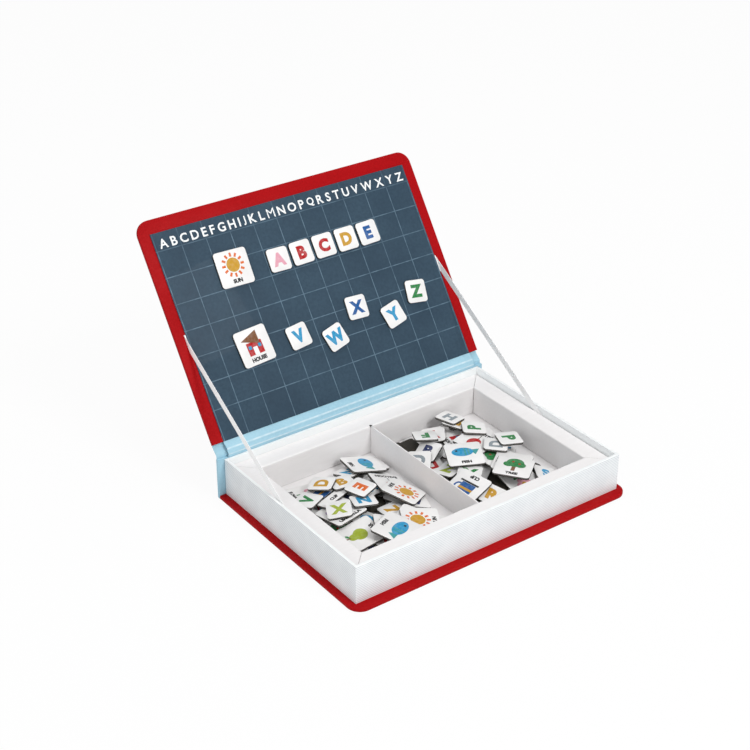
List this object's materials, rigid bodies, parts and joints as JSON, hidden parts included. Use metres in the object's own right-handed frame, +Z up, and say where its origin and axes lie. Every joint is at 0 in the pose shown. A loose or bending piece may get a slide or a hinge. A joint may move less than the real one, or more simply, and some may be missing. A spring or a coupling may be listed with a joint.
{
  "type": "magnetic alphabet book",
  "caption": "Hard-cover book that opens into a two-compartment tray of magnetic letter and picture tiles, with a gridded steel board inside its front cover.",
  "frame": {"origin": "middle of the back cover's underside, on the surface that the book lies on", "axes": "+X along the hinge to the right as the open book is read, +Y from the front edge to the spine, +Z up"},
  "size_m": [0.26, 0.2925, 0.192],
  "materials": {
    "grey_board": "solid grey board, matte",
    "red_paper": "printed red paper, satin varnish",
    "blue_paper": "printed light-blue paper, satin varnish",
    "page_paper": "white paper with fine printed page lines",
    "white_card": "smooth white folded solid card",
    "steel": "thin rolled sheet",
    "slate_print": "printed slate-coloured sheet, satin",
    "white_tape": "woven white tape",
    "tile": "white printed card on a dark magnetic rubber backing"
  },
  "bodies": {
    "tray": {"back_board": "grey_board", "back_wrap": "red_paper", "spine_board": "grey_board", "spine_wrap": "blue_paper", "hinge_strip": "blue_paper", "hinge_liner": "blue_paper", "tray_floor": "white_card", "tray_wall_front": "grey_board", "tray_wall_rear": "grey_board", "tray_wall_left": "grey_board", "tray_wall_right": "grey_board", "page_wrap": "page_paper", "ledge_rail_front": "white_card", "ledge_rail_rear": "white_card", "ledge_rail_left": "white_card", "ledge_rail_right": "white_card", "divider": "white_card", "pile_left": "tile", "pile_right": "tile", "lid_tape_left": "white_tape", "lid_tape_right": "white_tape"},
    "lid": {"lid_board": "grey_board", "lid_wrap": "red_paper", "steel_sheet": "steel", "grid_panel": "slate_print"},
    "picture_tile_upper_body": {"picture_tile_upper": "tile"},
    "picture_tile_lower_body": {"picture_tile_lower": "tile"},
    "row_tile_1_body": {"row_tile_1": "tile"},
    "row_tile_2_body": {"row_tile_2": "tile"},
    "row_tile_3_body": {"row_tile_3": "tile"},
    "row_tile_4_body": {"row_tile_4": "tile"},
    "row_tile_5_body": {"row_tile_5": "tile"},
    "scattered_tile_1_body": {"scattered_tile_1": "tile"},
    "scattered_tile_2_body": {"scattered_tile_2": "tile"},
    "scattered_tile_3_body": {"scattered_tile_3": "tile"},
    "scattered_tile_4_body": {"scattered_tile_4": "tile"},
    "scattered_tile_5_body": {"scattered_tile_5": "tile"},
    "loose_tile_left_1_body": {"loose_tile_left_1": "tile"},
    "loose_tile_left_2_body": {"loose_tile_left_2": "tile"},
    "loose_tile_left_3_body": {"loose_tile_left_3": "tile"},
    "loose_tile_left_4_body": {"loose_tile_left_4": "tile"},
    "loose_tile_left_5_body": {"loose_tile_left_5": "tile"},
    "loose_tile_right_1_body": {"loose_tile_right_1": "tile"},
    "loose_tile_right_2_body": {"loose_tile_right_2": "tile"},
    "loose_tile_right_3_body": {"loose_tile_right_3": "tile"},
    "loose_tile_right_4_body": {"loose_tile_right_4": "tile"},
    "loose_tile_right_5_body": {"loose_tile_right_5": "tile"}
  },
  "joints": [
    {"name": "lid_hinge", "type": "hinge", "parent": "tray", "child": "lid", "pos_m": [0, 0.0939, 0.0383], "axis": [-1, 0, 0], "range_deg": [-125, 0], "deforming": ["hinge_strip", "hinge_liner", "lid_tape_left", "lid_tape_right"]},
    {"name": "picture_tile_upper_off", "type": "slide", "parent": "lid", "child": "picture_tile_upper_body", "axis": [0, -0.8192, 0.5736], "range_m": [0, 0.03]},
    {"name": "picture_tile_lower_off", "type": "slide", "parent": "lid", "child": "picture_tile_lower_body", "axis": [0, -0.8192, 0.5736], "range_m": [0, 0.03]},
    {"name": "row_tile_1_off", "type": "slide", "parent": "lid", "child": "row_tile_1_body", "axis": [0, -0.8192, 0.5736], "range_m": [0, 0.03]},
    {"name": "row_tile_2_off", "type": "slide", "parent": "lid", "child": "row_tile_2_body", "axis": [0, -0.8192, 0.5736], "range_m": [0, 0.03]},
    {"name": "row_tile_3_off", "type": "slide", "parent": "lid", "child": "row_tile_3_body", "axis": [0, -0.8192, 0.5736], "range_m": [0, 0.03]},
    {"name": "row_tile_4_off", "type": "slide", "parent": "lid", "child": "row_tile_4_body", "axis": [0, -0.8192, 0.5736], "range_m": [0, 0.03]},
    {"name": "row_tile_5_off", "type": "slide", "parent": "lid", "child": "row_tile_5_body", "axis": [0, -0.8192, 0.5736], "range_m": [0, 0.03]},
    {"name": "scattered_tile_1_off", "type": "slide", "parent": "lid", "child": "scattered_tile_1_body", "axis": [0, -0.8192, 0.5736], "range_m": [0, 0.03]},
    {"name": "scattered_tile_2_off", "type": "slide", "parent": "lid", "child": "scattered_tile_2_body", "axis": [0, -0.8192, 0.5736], "range_m": [0, 0.03]},
    {"name": "scattered_tile_3_off", "type": "slide", "parent": "lid", "child": "scattered_tile_3_body", "axis": [0, -0.8192, 0.5736], "range_m": [0, 0.03]},
    {"name": "scattered_tile_4_off", "type": "slide", "parent": "lid", "child": "scattered_tile_4_body", "axis": [0, -0.8192, 0.5736], "range_m": [0, 0.03]},
    {"name": "scattered_tile_5_off", "type": "slide", "parent": "lid", "child": "scattered_tile_5_body", "axis": [0, -0.8192, 0.5736], "range_m": [0, 0.03]},
    {"name": "loose_tile_left_1_out", "type": "slide", "parent": "tray", "child": "loose_tile_left_1_body", "axis": [0, 0, 1], "range_m": [0, 0.03]},
    {"name": "loose_tile_left_2_out", "type": "slide", "parent": "tray", "child": "loose_tile_left_2_body", "axis": [0, 0, 1], "range_m": [0, 0.03]},
    {"name": "loose_tile_left_3_out", "type": "slide", "parent": "tray", "child": "loose_tile_left_3_body", "axis": [0, 0, 1], "range_m": [0, 0.03]},
    {"name": "loose_tile_left_4_out", "type": "slide", "parent": "tray", "child": "loose_tile_left_4_body", "axis": [0, 0, 1], "range_m": [0, 0.03]},
    {"name": "loose_tile_left_5_out", "type": "slide", "parent": "tray", "child": "loose_tile_left_5_body", "axis": [0, 0, 1], "range_m": [0, 0.03]},
    {"name": "loose_tile_right_1_out", "type": "slide", "parent": "tray", "child": "loose_tile_right_1_body", "axis": [0, 0, 1], "range_m": [0, 0.03]},
    {"name": "loose_tile_right_2_out", "type": "slide", "parent": "tray", "child": "loose_tile_right_2_body", "axis": [0, 0, 1], "range_m": [0, 0.03]},
    {"name": "loose_tile_right_3_out", "type": "slide", "parent": "tray", "child": "loose_tile_right_3_body", "axis": [0, 0, 1], "range_m": [0, 0.03]},
    {"name": "loose_tile_right_4_out", "type": "slide", "parent": "tray", "child": "loose_tile_right_4_body", "axis": [0, 0, 1], "range_m": [0, 0.03]},
    {"name": "loose_tile_right_5_out", "type": "slide", "parent": "tray", "child": "loose_tile_right_5_body", "axis": [0, 0, 1], "range_m": [0, 0.03]}
  ]
}
